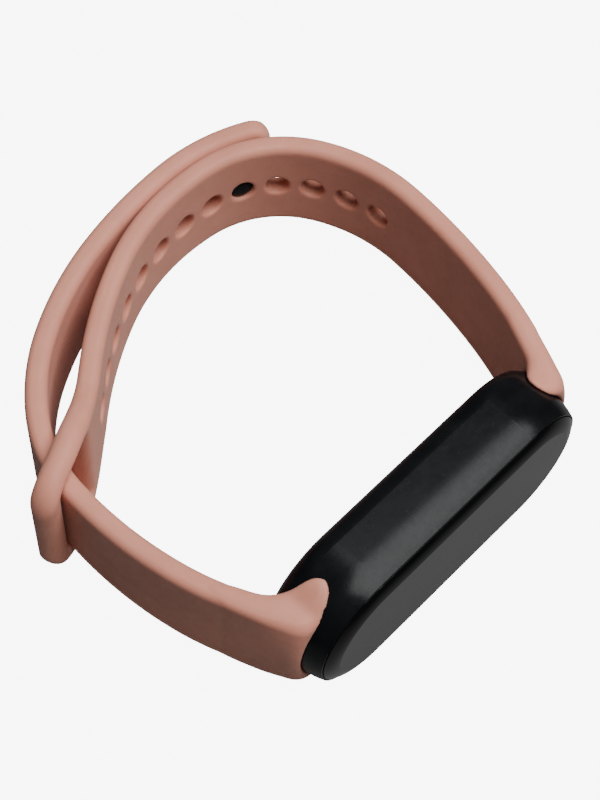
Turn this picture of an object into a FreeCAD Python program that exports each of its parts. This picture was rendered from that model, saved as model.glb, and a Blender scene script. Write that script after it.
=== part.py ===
import FreeCAD, Part
import math
import os
import Sketcher

os.makedirs("parts", exist_ok=True)

# A fitness tracker band, closed and lying on its long edge. Millimetres, +Z up.
# X runs along the tracker, its screen faces -Y and the strap loop lies towards +Y.
# The band is symmetric about the horizontal plane at mid_height.
# "_depth" values are along Y from the tracker's own middle plane, positive towards the wrist.

SIZES = {
    # where the tracker stands in the row frame
    "track_x": 0.698, "track_y": -28.34, "mid_height": 10.35,
    # one-piece housing: a pill in front view with a bulging side wall
    "case_length": 47.0, "case_radius": 10.35, "rim_radius": 9.6, "seam_depth": -2.0,
    "wall_full_depth": 1.9, "wall_bulge": 9.0, "case_back_depth": 7.5, "back_rounding": 2.5,
    "core_radius": 7.0, "glass_seat_radius": 9.4, "glass_seat_depth": -1.7,
    "cavity_radius": 8.6, "cavity_half_length": 19.4, "cavity_back_depth": 6.6,
    # cover glass with a curved edge
    "glass_radius": 9.3, "glass_flat_radius": 7.4, "glass_front_depth": -2.9,
    "glass_edge_depth": -2.1, "glass_back_depth": -1.85, "glass_edge_curve": 4.0,
    # the stack behind the glass, front to back
    "adhesive_width": 0.7, "touch_radius": 8.4, "touch_thick": 0.15,
    "display_length": 36.4, "display_width": 15.4, "display_thick": 1.0, "display_corner": 2.4,
    "frame_depth": -0.6, "frame_thick": 0.8, "frame_radius": 8.4, "frame_half_length": 19.2,
    "notch_start": 16.2, "notch_half_width": 3.4,
    "battery_length": 23.0, "battery_width": 13.0, "battery_depth": 0.35, "battery_thick": 3.0,
    "battery_x": -5.5, "battery_rounding": 0.8, "pad_thick": 0.15, "pad_margin": 1.0,
    "board_depth": 3.9, "board_thick": 0.6, "board_radius": 8.2, "board_half_length": 18.8,
    "chip_thick": 0.9, "processor_side": 5.0, "processor_x": -12.5, "memory_side": 3.6, "memory_x": 8.8,
    "shield_gap": 0.2, "shield_wall": 0.15, "connector_length": 5.0, "connector_width": 1.8,
    "sensor_board_depth": 5.2, "sensor_board_thick": 0.4, "sensor_board_length": 11.0,
    "sensor_board_width": 7.4, "led_side": 1.2, "led_thick": 0.5, "led_offset": 3.4, "diode_side": 2.2,
    # rear optical window
    "window_half_length": 3.0, "window_flange_radius": 5.2, "window_plug_radius": 4.1,
    "window_ledge_depth": 7.0, "window_gasket_thick": 0.1,
    "window_top_depth": 8.3, "window_rounding": 0.7, "fit_gap": 0.05,
    # charging contacts
    "contact_radius": 1.1, "contact_x": 13.2, "contact_half_pitch": 2.2, "contact_end_depth": 7.4,
    # flexible parts and antenna
    "flex_thick": 0.12, "flex_half_width": 3.0, "flex_inner_x": 16.6, "flex_outer_x": 18.8,
    "antenna_length": 20.0, "antenna_thick": 0.2, "antenna_width": 2.4, "antenna_depth": 1.0,
    "antenna_height": -8.55,
    # coin vibration motor
    "motor_x": 11.6, "motor_radius": 4.0, "motor_front_depth": 0.4, "motor_height": 2.6, "motor_wall": 0.25,
    "shaft_radius": 0.4, "shaft_clearance": 0.05, "rotor_radius": 3.3, "rotor_thick": 1.4,
    "rotor_depth": 1.1, "rotor_hub_radius": 1.0,
    # stiff lugs in the strap ends and the slots that they slide in
    "lug_depth": 2.2, "lug_height": 4.0, "lug_neck_half": 1.8, "lug_head_half": 3.2,
    "lug_head_x": 20.6, "lug_neck_x": 21.9, "lug_root_x": 24.2, "lug_fit": 0.1, "lug_slot_depth": 2.05,
    # silicone straps
    "strap_thick": 2.85, "cup_gap": 0.12,
    "hole_strap_half_width": 8.05, "hole_strap_end_half_width": 7.6, "hole_strap_taper_start": 30.0,
    "stud_strap_half_width": 7.9, "tail_half_width": 7.4, "tail_start": 35.0,
    # the strap ends that cup the tracker; the left nose reaches further along the side wall
    "root_front_depth": 0.4, "root_front_x": 24.3, "root_corner": 2.2, "root_reach": 10.0,
    "root_flare_x": 21.6, "nose_rounding": 1.7,
    "right_nose_x": 19.4, "right_nose_depth": 4.5, "right_nose_half_width": 8.6,
    "right_back_x": 21.8, "right_back_depth": 6.4,
    "left_nose_x": 17.3, "left_nose_depth": 4.5, "left_nose_half_width": 9.5,
    "left_back_x": 21.2, "left_back_depth": 6.8,
    # adjustment holes, counted from the tracker
    "hole_count": 13, "hole_radius": 1.7, "hole_pitch": 5.1, "first_hole": 35.5, "stud_hole": 5,
    # loop frame at the end of the hole strap
    "loop_half_width": 10.35, "loop_thick": 3.4, "loop_start": 101.5, "loop_flare": 5.5,
    "slot_start": 104.8, "slot_half_width": 7.75, "slot_corner": 0.4, "loop_corner": 5.0,
    "bar_radius": 1.5, "bar_place": 114.1, "bar_seat": 0.5,
    # tail: bend lines behind the stud, and the stud
    "tail_gap": 0.27, "stud_place": 94.4, "tip_past_stud": 5.3, "tip_corner": 3.0,
    "near_bend": 13.0, "far_bend": 28.0, "bend_gap": 0.3,
    "stud_root_radius": 1.5, "stud_tip_radius": 1.4, "stud_short": 0.25,
    "stud_flange_radius": 3.0, "stud_flange_thick": 0.7, "stud_flange_depth": 0.6, "stud_pin_radius": 0.9,
    "cap_radius": 3.4, "cap_thick": 0.5, "cap_proud": 0.15,
}

# Each strap's middle line, from the tracker outwards: tangent arcs as (radius, turn in degrees).
# A positive turn bends to the left.
HOLE_STRAP_START = (22.5, 2.8, 61.5)
HOLE_STRAP_ARCS = [(63, 14), (88, 10.5), (24.5, 32.5), (16.3, 53), (32.5, 34), (59, 15), (53, -21.5)]
STUD_STRAP_START = (-21.3, 2.2, 125)
STUD_STRAP_ARCS = [(39.5, -23), (54.5, -17.5), (20.5, -31.5), (29.5, -22.5), (46.5, -17.5), (65.5, -12.5),
                   (27.5, -31.5)]

doc = FreeCAD.newDocument("fitness_band")
sheet = doc.addObject("Spreadsheet::Sheet", "sizes")
for row, (alias, number) in enumerate(SIZES.items(), 1):
    sheet.set(f"A{row}", alias)
    sheet.set(f"B{row}", str(number))
    sheet.setAlias(f"B{row}", alias)
doc.recompute()


class Size:
    """A length read from the sheet, kept with the expression that gives it."""

    def __init__(self, text, value):
        self.text = text
        self.value = value

    @staticmethod
    def of(other):
        return other if isinstance(other, Size) else Size(str(other), float(other))

    def __float__(self):
        return self.value

    def __add__(self, other):
        other = Size.of(other)
        return Size(f"({self.text} + {other.text})", self.value + other.value)

    def __sub__(self, other):
        other = Size.of(other)
        return Size(f"({self.text} - {other.text})", self.value - other.value)

    def __mul__(self, factor):
        return Size(f"{self.text} * {factor}", self.value * factor)

    def __neg__(self):
        return Size(f"(0 - {self.text})", -self.value)


class Sheet:
    """sz.alias gives the Size of that cell."""

    def __getattr__(self, alias):
        return Size(f"sizes.{alias}", float(getattr(sheet, alias)))


sz = Sheet()
V = FreeCAD.Vector
ZERO = Size("0", 0.0)
UP = V(0, 0, 1)
case_half = sz.case_length * 0.5 - sz.case_radius   # half the distance between the pill's end centres
THROUGH = 6.0   # how far cutters reach to each side of a strap's middle line


def bind(thing, prop, size):
    thing.setExpression(prop, Size.of(size).text)


def place_at_tracker(thing, x=ZERO, depth=ZERO, height=ZERO):
    """Puts a body's own origin at a place given in the tracker's own frame."""
    bind(thing, "Placement.Base.x", sz.track_x + x)
    bind(thing, "Placement.Base.y", sz.track_y + depth)
    bind(thing, "Placement.Base.z", sz.mid_height + height)


# ---------------------------------------------------------------- sketches and features

def new_body(label, x=ZERO, depth=ZERO, height=ZERO):
    body = doc.addObject("PartDesign::Body", label)
    body.Label = label
    place_at_tracker(body, x, depth, height)
    return body


def new_sketch(body, role, level=ZERO):
    """A sketch on one of the body's planes; level moves an XZ sketch towards the wrist (+Y)."""
    sketch = body.newObject("Sketcher::SketchObject", f"{body.Label}_sketch")
    plane = next(f for f in body.Origin.OriginFeatures if f.Role == role)
    sketch.AttachmentSupport = [(plane, "")]
    sketch.MapMode = "FlatFace"
    bind(sketch, "AttachmentOffset.Base.z", -level)
    return sketch


def constrain(sketch, kind, *args):
    """Adds a constraint; a Size as last argument is bound to the sheet."""
    if isinstance(args[-1], Size):
        index = sketch.addConstraint(Sketcher.Constraint(kind, *args[:-1], float(args[-1])))
        bind(sketch, f"Constraints[{index}]", args[-1])
    else:
        sketch.addConstraint(Sketcher.Constraint(kind, *args))


def draw_stadium(sketch, half, radius):
    """A pill outline about the sketch's origin: end centres at +-half, end radius radius."""
    h, r = float(half), float(radius)
    top = sketch.addGeometry(Part.LineSegment(V(-h, r, 0), V(h, r, 0)))
    right = sketch.addGeometry(Part.ArcOfCircle(Part.Circle(V(h, 0, 0), UP, r), -math.pi / 2, math.pi / 2))
    bottom = sketch.addGeometry(Part.LineSegment(V(h, -r, 0), V(-h, -r, 0)))
    left = sketch.addGeometry(Part.ArcOfCircle(Part.Circle(V(-h, 0, 0), UP, r), math.pi / 2, 1.5 * math.pi))
    for one, end_one, other, end_other in ((top, 2, right, 2), (right, 1, bottom, 1),
                                           (bottom, 2, left, 2), (left, 1, top, 1)):
        constrain(sketch, "Tangent", one, end_one, other, end_other)
    constrain(sketch, "Symmetric", left, 3, right, 3, -1, 1)
    constrain(sketch, "PointOnObject", right, 3, -1)
    constrain(sketch, "Equal", right, left)
    constrain(sketch, "Radius", right, Size.of(radius))
    constrain(sketch, "DistanceX", left, 3, right, 3, half * 2)


def draw_circle(sketch, x, y, radius):
    circle = sketch.addGeometry(Part.Circle(V(float(x), float(y), 0), UP, float(radius)))
    pin_point(sketch, circle, 3, x, y)
    constrain(sketch, "Radius", circle, radius)


def pin_point(sketch, geometry, end, x, y):
    """Fixes one point of a geometry at (x, y) from the sketch's origin."""
    for kind, axis, size in (("DistanceX", -2, x), ("DistanceY", -1, y)):
        if abs(float(size)) < 1e-9:
            constrain(sketch, "PointOnObject", geometry, end, axis)
        elif float(size) > 0:
            constrain(sketch, kind, -1, 1, geometry, end, size)
        else:
            constrain(sketch, kind, geometry, end, -1, 1, -size)


def draw_outline(sketch, corners, curves=None):
    """A closed outline through corners; curves gives a radius for the side after a corner,
    positive when that side bulges to the right of its travel."""
    curves = curves or {}
    count = len(corners)
    sides = []
    for i, (x, y) in enumerate(corners):
        a = V(float(x), float(y), 0)
        b = V(float(corners[(i + 1) % count][0]), float(corners[(i + 1) % count][1]), 0)
        if i in curves:
            radius = abs(float(curves[i]))
            side = (b - a).normalize().cross(UP)
            if float(curves[i]) < 0:
                side = side * -1
            sagitta = radius - math.sqrt(radius ** 2 - (b - a).Length ** 2 / 4)
            sides.append(sketch.addGeometry(Part.Arc(a, (a + b) * 0.5 + side * sagitta, b)))
        else:
            sides.append(sketch.addGeometry(Part.LineSegment(a, b)))
    for i, (x, y) in enumerate(corners):
        start, end = ends_of(sketch, sides[i], V(float(x), float(y), 0))
        before = sides[i - 1]
        meet = ends_of(sketch, before, V(float(x), float(y), 0))[0]
        pin_point(sketch, sides[i], start, x, y)
        constrain(sketch, "Coincident", before, meet, sides[i], start)
        if i in curves:
            constrain(sketch, "Radius", sides[i], curves[i] if float(curves[i]) > 0 else -curves[i])


def ends_of(sketch, geometry, point):
    """Which end (1 or 2) of a geometry lies at point, and the other one."""
    at_start = sketch.getPoint(geometry, 1).distanceToPoint(point) < 1e-6
    return (1, 2) if at_start else (2, 1)


def draw_rectangle(sketch, half_x, half_y, x=ZERO, y=ZERO):
    draw_outline(sketch, [(x - half_x, y - half_y), (x + half_x, y - half_y),
                          (x + half_x, y + half_y), (x - half_x, y + half_y)])


def pad(body, sketch, length, towards_wrist=True):
    feature = body.newObject("PartDesign::Pad", f"{body.Label}_pad")
    feature.Profile = sketch
    bind(feature, "Length", length)
    feature.Reversed = towards_wrist
    return feature


def pocket(body, sketch, length, towards_wrist=True):
    """Cuts from an XZ sketch, and stops the build if it removed nothing."""
    doc.recompute()
    before = body.Shape.Volume
    feature = body.newObject("PartDesign::Pocket", f"{body.Label}_pocket")
    feature.Profile = sketch
    bind(feature, "Length", length)
    feature.Reversed = not towards_wrist
    doc.recompute()
    if body.Shape.Volume > before - 1e-6:
        raise RuntimeError(f"{body.Label}: a pocket cut nothing")
    return feature


def sweep_rim(body, path_radius, corners, curves):
    """A ring of the given YZ section, swept round the pill outline of path_radius."""
    path = new_sketch(body, "XZ_Plane")
    draw_stadium(path, case_half, path_radius)
    section = new_sketch(body, "YZ_Plane")
    draw_outline(section, corners, curves)
    pipe = body.newObject("PartDesign::AdditivePipe", f"{body.Label}_rim")
    pipe.Profile = section
    pipe.Spine = path
    return pipe


def stadium_plate(label, depth, thick, half, radius):
    """A flat pill-shaped plate from depth towards the wrist."""
    body = new_body(label, depth=depth)
    outline = new_sketch(body, "XZ_Plane")
    draw_stadium(outline, half, radius)
    pad(body, outline, thick)
    return body


def truncated_stadium(sketch, half_length, radius):
    """The pill outline with its round ends cut off flat at +-half_length."""
    height_value = math.sqrt(float(radius) ** 2 - (float(half_length) - float(case_half)) ** 2)
    height = Size(f"sqrt({radius.text}^2 - ({half_length.text} - {case_half.text})^2)", height_value)
    draw_outline(sketch, [(-case_half, -radius), (case_half, -radius), (half_length, -height),
                          (half_length, height), (case_half, radius), (-case_half, radius),
                          (-half_length, height), (-half_length, -height)],
                 {1: radius, 3: radius, 5: radius, 7: radius})


def edges_at_depth(shape, depth):
    """Names of the edges that lie in one plane across Y."""
    return [f"Edge{i}" for i, edge in enumerate(shape.Edges, 1)
            if abs(edge.BoundBox.YMin - depth) < 1e-4 and abs(edge.BoundBox.YMax - depth) < 1e-4]


def round_edges(body, base, names, radius):
    feature = body.newObject("PartDesign::Fillet", f"{body.Label}_fillet")
    feature.Base = (base, names)
    bind(feature, "Radius", radius)
    return feature


# ---------------------------------------------------------------- tracker housing and glass

def make_housing():
    body = new_body("body_housing")
    core = new_sketch(body, "XZ_Plane", sz.seam_depth)
    draw_stadium(core, case_half, sz.core_radius)
    pad(body, core, sz.case_back_depth - sz.seam_depth)
    shoulder = sz.case_back_depth - sz.back_rounding
    sweep_rim(body, sz.core_radius,
              [(sz.seam_depth, sz.core_radius), (sz.case_back_depth, sz.core_radius),
               (sz.case_back_depth, sz.case_radius - sz.back_rounding), (shoulder, sz.case_radius),
               (sz.wall_full_depth, sz.case_radius), (sz.seam_depth, sz.rim_radius)],
              {2: sz.back_rounding, 4: sz.wall_bulge})
    seat = new_sketch(body, "XZ_Plane", sz.seam_depth)
    draw_stadium(seat, case_half, sz.glass_seat_radius)
    pocket(body, seat, sz.glass_seat_depth - sz.seam_depth)
    cavity = new_sketch(body, "XZ_Plane", sz.glass_seat_depth)
    truncated_stadium(cavity, sz.cavity_half_length, sz.cavity_radius)
    pocket(body, cavity, sz.cavity_back_depth - sz.glass_seat_depth)
    hole = new_sketch(body, "XZ_Plane", sz.cavity_back_depth)
    draw_stadium(hole, sz.window_half_length, sz.window_plug_radius + sz.fit_gap)
    pocket(body, hole, sz.case_back_depth - sz.cavity_back_depth)
    ledge = new_sketch(body, "XZ_Plane", sz.window_ledge_depth)
    draw_stadium(ledge, sz.window_half_length, sz.window_flange_radius + sz.fit_gap)
    pocket(body, ledge, sz.case_back_depth - sz.window_ledge_depth)
    contacts = new_sketch(body, "XZ_Plane", sz.cavity_back_depth)
    for side in (1, -1):
        draw_circle(contacts, sz.contact_x, sz.contact_half_pitch * side, sz.contact_radius + sz.fit_gap)
    pocket(body, contacts, sz.case_back_depth - sz.cavity_back_depth)
    for side in (1, -1):
        slot_plan = new_sketch(body, "XZ_Plane", sz.lug_slot_depth)
        head, neck = sz.lug_head_half + sz.lug_fit, sz.lug_neck_half + sz.lug_fit
        inner, throat = (sz.lug_head_x - sz.lug_fit) * side, (sz.lug_neck_x + sz.lug_fit) * side
        outer = sz.case_length * (0.5 * side) + side
        draw_outline(slot_plan, [(inner, -head), (throat, -head), (throat, -neck), (outer, -neck),
                                 (outer, neck), (throat, neck), (throat, head), (inner, head)])
        pocket(body, slot_plan, sz.case_back_depth - sz.lug_slot_depth)


def make_glass():
    body = new_body("front_glass")
    core = new_sketch(body, "XZ_Plane", sz.glass_front_depth)
    draw_stadium(core, case_half, sz.core_radius)
    pad(body, core, sz.glass_back_depth - sz.glass_front_depth)
    sweep_rim(body, sz.core_radius,
              [(sz.glass_front_depth, sz.core_radius), (sz.glass_back_depth, sz.core_radius),
               (sz.glass_back_depth, sz.glass_radius), (sz.glass_edge_depth, sz.glass_radius),
               (sz.glass_front_depth, sz.glass_flat_radius)],
              {3: sz.glass_edge_curve})


# ---------------------------------------------------------------- the stack behind the glass

def make_ring(label, depth, thick, half, outer, inner):
    body = stadium_plate(label, depth, thick, half, outer)
    hole = new_sketch(body, "XZ_Plane")
    draw_stadium(hole, half, inner)
    pocket(body, hole, thick)


def draw_rounded_rectangle(sketch, half_x, half_y, corner):
    corners = []
    for sx, sy, first_flat in ((1, -1, False), (1, 1, True), (-1, 1, False), (-1, -1, True)):
        beside = ((half_x - corner) * sx, half_y * sy)
        above = (half_x * sx, (half_y - corner) * sy)
        corners += [above, beside] if first_flat else [beside, above]
    draw_outline(sketch, corners, {0: corner, 2: corner, 4: corner, 6: corner})


def make_display():
    body = new_body("display_panel", depth=sz.glass_back_depth + sz.touch_thick)
    outline = new_sketch(body, "XZ_Plane")
    draw_rounded_rectangle(outline, sz.display_length * 0.5, sz.display_width * 0.5, sz.display_corner)
    pad(body, outline, sz.display_thick)


def make_display_flex():
    """A flat ribbon that runs from the display's back, round its end, to the board's front."""
    body = new_body("display_flex")
    outline = new_sketch(body, "XY_Plane")
    front = sz.glass_back_depth + sz.touch_thick + sz.display_thick
    thick = sz.flex_thick
    draw_outline(outline, [(sz.flex_inner_x, front), (sz.flex_outer_x, front),
                           (sz.flex_outer_x, sz.board_depth), (sz.flex_inner_x, sz.board_depth),
                           (sz.flex_inner_x, sz.board_depth - thick),
                           (sz.flex_outer_x - thick, sz.board_depth - thick),
                           (sz.flex_outer_x - thick, front + thick), (sz.flex_inner_x, front + thick)])
    strip = pad(body, outline, sz.flex_half_width * 2, towards_wrist=False)
    strip.Midplane = True


def make_mid_frame():
    body = new_body("mid_frame", depth=sz.frame_depth)
    outline = new_sketch(body, "XZ_Plane")
    truncated_stadium(outline, sz.frame_half_length, sz.frame_radius)
    pad(body, outline, sz.frame_thick)
    notch = new_sketch(body, "XZ_Plane")
    end = sz.frame_half_length + 1
    draw_outline(notch, [(sz.notch_start, -sz.notch_half_width), (end, -sz.notch_half_width),
                         (end, sz.notch_half_width), (sz.notch_start, sz.notch_half_width)])
    pocket(body, notch, sz.frame_thick)


def make_battery():
    body = new_body("battery", x=sz.battery_x, depth=sz.battery_depth)
    outline = new_sketch(body, "XZ_Plane")
    draw_rectangle(outline, sz.battery_length * 0.5, sz.battery_width * 0.5)
    cell = pad(body, outline, sz.battery_thick)
    doc.recompute()
    names = [f"Edge{i}" for i in range(1, len(cell.Shape.Edges) + 1)]
    round_edges(body, cell, names, sz.battery_rounding)


def make_board():
    body = new_body("main_board", depth=sz.board_depth)
    outline = new_sketch(body, "XZ_Plane")
    truncated_stadium(outline, sz.board_half_length, sz.board_radius)
    pad(body, outline, sz.board_thick)


def make_block(label, x, depth, height, length, thick, width):
    """A rectangular block centred on x and height, from depth towards the wrist."""
    block = doc.addObject("Part::Box", label)
    block.Label = label
    bind(block, "Length", length)
    bind(block, "Width", thick)
    bind(block, "Height", width)
    place_at_tracker(block, Size.of(x) - Size.of(length) * 0.5, depth, Size.of(height) - Size.of(width) * 0.5)
    return block


def make_pin(label, x, depth, height, radius, length):
    """A round pin along Y, from depth towards the wrist."""
    pin = doc.addObject("Part::Cylinder", label)
    pin.Label = label
    bind(pin, "Radius", radius)
    bind(pin, "Height", length)
    pin.Placement.Rotation = FreeCAD.Rotation(V(1, 0, 0), -90)
    place_at_tracker(pin, x, depth, height)
    return pin


def make_group(label, members):
    group = doc.addObject("Part::Compound", label)
    group.Label = label
    group.Links = members
    return group


def make_shield_can():
    body = new_body("shield_can", x=sz.processor_x, depth=sz.board_depth + sz.board_thick)
    half = sz.processor_side * 0.5 + sz.shield_gap
    outline = new_sketch(body, "XZ_Plane")
    draw_rectangle(outline, half + sz.shield_wall, half + sz.shield_wall)
    pad(body, outline, sz.chip_thick + sz.shield_gap + sz.shield_wall)
    inside = new_sketch(body, "XZ_Plane")
    draw_rectangle(inside, half, half)
    pocket(body, inside, sz.chip_thick + sz.shield_gap)


def make_electronics():
    parts = []
    board_back = sz.board_depth + sz.board_thick
    sensor_back = sz.sensor_board_depth + sz.sensor_board_thick
    parts.append(make_block("battery_cushion", sz.battery_x, sz.frame_depth + sz.frame_thick, ZERO,
                            sz.battery_length - sz.pad_margin, sz.pad_thick,
                            sz.battery_width - sz.pad_margin))
    parts.append(make_block("processor_chip", sz.processor_x, board_back, ZERO,
                            sz.processor_side, sz.chip_thick, sz.processor_side))
    parts.append(make_block("memory_chip", sz.memory_x, board_back, ZERO,
                            sz.memory_side, sz.chip_thick, sz.memory_side))
    parts.append(make_block("board_connector", ZERO, board_back, ZERO, sz.connector_length,
                            sz.sensor_board_depth - board_back, sz.connector_width))
    parts.append(make_block("sensor_board", ZERO, sz.sensor_board_depth, ZERO, sz.sensor_board_length,
                            sz.sensor_board_thick, sz.sensor_board_width))
    leds = [make_block(f"led_{name}", sz.led_offset * side, sensor_back, ZERO,
                       sz.led_side, sz.led_thick, sz.led_side) for name, side in (("left", -1), ("right", 1))]
    parts.append(make_group("sensor_leds", leds))
    parts.append(make_block("photodiode", ZERO, sensor_back, ZERO,
                            sz.diode_side, sz.led_thick, sz.diode_side))
    contacts = [make_pin(f"contact_{name}", sz.contact_x, board_back, sz.contact_half_pitch * side,
                         sz.contact_radius, sz.contact_end_depth - board_back)
                for name, side in (("lower", -1), ("upper", 1))]
    parts.append(make_group("charge_contacts", contacts))
    parts.append(make_block("antenna_strip", ZERO, sz.antenna_depth,
                            sz.antenna_height + sz.antenna_thick * 0.5,
                            sz.antenna_length, sz.antenna_width, sz.antenna_thick))
    return parts


def make_sensor_window():
    body = stadium_plate("sensor_window", sz.window_ledge_depth + sz.window_gasket_thick,
                         sz.window_top_depth - sz.window_ledge_depth - sz.window_gasket_thick,
                         sz.window_half_length, sz.window_flange_radius)
    plug = new_sketch(body, "XZ_Plane")
    draw_stadium(plug, sz.window_half_length, sz.window_plug_radius)
    doc.recompute()
    inward = sz.window_ledge_depth + sz.window_gasket_thick - sz.cavity_back_depth
    plug_pad = pad(body, plug, inward, towards_wrist=False)
    doc.recompute()
    top = float(sz.window_top_depth - sz.window_ledge_depth - sz.window_gasket_thick)
    round_edges(body, plug_pad, edges_at_depth(plug_pad.Shape, top), sz.window_rounding)


# ---------------------------------------------------------------- vibration motor

def make_motor():
    case = new_body("motor_case", x=sz.motor_x, depth=sz.motor_front_depth)
    cup = new_sketch(case, "XZ_Plane")
    draw_circle(cup, ZERO, ZERO, sz.motor_radius)
    pad(case, cup, sz.motor_height)
    inside = new_sketch(case, "XZ_Plane", sz.motor_wall)
    draw_circle(inside, ZERO, ZERO, sz.motor_radius - sz.motor_wall)
    pocket(case, inside, sz.motor_height - sz.motor_wall)

    plate = new_body("motor_plate", x=sz.motor_x, depth=sz.motor_front_depth + sz.motor_height)
    disc = new_sketch(plate, "XZ_Plane")
    draw_circle(disc, ZERO, ZERO, sz.motor_radius)
    pad(plate, disc, sz.motor_wall)
    shaft = new_sketch(plate, "XZ_Plane")
    draw_circle(shaft, ZERO, ZERO, sz.shaft_radius)
    pad(plate, shaft, sz.motor_height - sz.motor_wall * 2, towards_wrist=False)

    rotor = new_body("motor_rotor", x=sz.motor_x, depth=sz.rotor_depth)
    weight = new_sketch(rotor, "XZ_Plane")
    half_disc = weight.addGeometry(Part.ArcOfCircle(Part.Circle(V(0, 0, 0), UP, float(sz.rotor_radius)),
                                                    math.pi, 2 * math.pi))
    chord = weight.addGeometry(Part.LineSegment(V(float(sz.rotor_radius), 0, 0),
                                                V(-float(sz.rotor_radius), 0, 0)))
    constrain(weight, "Coincident", half_disc, 3, -1, 1)
    constrain(weight, "Coincident", half_disc, 2, chord, 1)
    constrain(weight, "Coincident", chord, 2, half_disc, 1)
    constrain(weight, "Horizontal", chord)
    constrain(weight, "Radius", half_disc, sz.rotor_radius)
    pad(rotor, weight, sz.rotor_thick)
    hub = new_sketch(rotor, "XZ_Plane")
    draw_circle(hub, ZERO, ZERO, sz.rotor_hub_radius)
    pad(rotor, hub, sz.rotor_thick)
    bore = new_sketch(rotor, "XZ_Plane")
    draw_circle(bore, ZERO, ZERO, sz.shaft_radius + sz.shaft_clearance)
    pocket(rotor, bore, sz.rotor_thick)


# ---------------------------------------------------------------- strap geometry

class StrapLine:
    """A strap's middle line in plan: tangent arcs, measured by length from the tracker."""

    def __init__(self, start, arcs):
        x, y, heading = start
        self.pieces = []
        place = 0.0
        x += float(sz.track_x)
        y += float(sz.track_y)
        turn_to = math.radians(heading)
        for radius, turn in arcs:
            bend = math.copysign(1.0 / radius, turn)
            length = radius * abs(math.radians(turn))
            self.pieces.append((place, x, y, turn_to, bend))
            x += (math.sin(turn_to + bend * length) - math.sin(turn_to)) / bend
            y -= (math.cos(turn_to + bend * length) - math.cos(turn_to)) / bend
            turn_to += bend * length
            place += length
        self.length = place

    def frame(self, place):
        """The point, the direction of travel and the direction to its left."""
        piece = self.pieces[0]
        for other in self.pieces:
            if place >= other[0]:
                piece = other
        start, x, y, heading, bend = piece
        now = heading + bend * (place - start)
        point = V(x + (math.sin(now) - math.sin(heading)) / bend,
                  y - (math.cos(now) - math.cos(heading)) / bend, 0)
        return point, V(math.cos(now), math.sin(now), 0), V(-math.sin(now), math.cos(now), 0)

    def beside(self, place, left):
        point, _, side = self.frame(place)
        return point + side * left

    def run(self, start, end, left):
        """Arc edges of a line parallel to the strap, from start to end."""
        cuts = [start] + [p[0] for p in self.pieces if start < p[0] < end] + [end]
        return [Part.Arc(self.beside(a, left), self.beside((a + b) / 2, left), self.beside(b, left)).toShape()
                for a, b in zip(cuts, cuts[1:])]

    def slab(self, start, end, thick, half_width):
        """The strap between two places, of even thickness and width."""
        left, right = self.run(start, end, thick / 2), self.run(start, end, -thick / 2)
        caps = [Part.makeLine(self.beside(p, thick / 2), self.beside(p, -thick / 2)) for p in (start, end)]
        wire = Part.Wire(Part.__sortEdges__(left + right + caps))
        face = Part.Face(wire)
        face.translate(V(0, 0, float(sz.mid_height) - half_width))
        return face.extrude(V(0, 0, 2 * half_width))


def post(point, radius, half_width):
    """An upright cylinder centred at mid height."""
    base = V(point.x, point.y, float(sz.mid_height) - half_width)
    return Part.makeCylinder(radius, 2 * half_width, base)


def taper(along, near, near_half, far, far_half):
    """A wedge whose half width goes evenly from near_half to far_half along X or Y."""
    margin, reach = 40.0, 80.0
    slope = (far_half - near_half) / (far - near)
    first, last = min(near, far) - margin, max(near, far) + margin
    mid = float(sz.mid_height)
    points = []
    for place, side in ((first, -1), (last, -1), (last, 1), (first, 1)):
        height = mid + side * (near_half + slope * (place - near))
        points.append(V(place, -reach, height) if along == "x" else V(-reach, place, height))
    face = Part.Face(Part.makePolygon(points + points[:1]))
    return face.extrude(V(0, 2 * reach, 0) if along == "x" else V(2 * reach, 0, 0))


def pill_prism(radius):
    """The tracker's front outline at the given end radius, from far in front to behind the strap ends."""
    half, mid, x = float(case_half), float(sz.mid_height), float(sz.track_x)
    front = float(sz.track_y) - 2 * radius
    back = float(sz.track_y + sz.case_back_depth) + radius / 2
    top = [V(x - half, front, mid + radius), V(x + half, front, mid + radius)]
    low = [V(x + half, front, mid - radius), V(x - half, front, mid - radius)]
    edges = [Part.makeLine(*top), Part.Arc(top[1], V(x + half + radius, front, mid), low[0]).toShape(),
             Part.makeLine(*low), Part.Arc(low[1], V(x - half - radius, front, mid), top[0]).toShape()]
    return Part.Face(Part.Wire(edges)).extrude(V(0, back - front, 0))


def lug_shape(side):
    """A T-shaped lug: the head slides in the housing, the root is moulded into the strap."""
    mid, depth = float(sz.mid_height), float(sz.track_y + sz.lug_depth)
    x = float(sz.track_x)
    head, neck = float(sz.lug_head_half), float(sz.lug_neck_half)
    xs = [x + side * float(v) for v in (sz.lug_head_x, sz.lug_neck_x, sz.lug_root_x)]
    plan = [(xs[0], -head), (xs[1], -head), (xs[1], -neck), (xs[2], -neck),
            (xs[2], neck), (xs[1], neck), (xs[1], head), (xs[0], head)]
    points = [V(px, depth, mid + pz) for px, pz in plan]
    return Part.Face(Part.makePolygon(points + points[:1])).extrude(V(0, float(sz.lug_height), 0))


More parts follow.
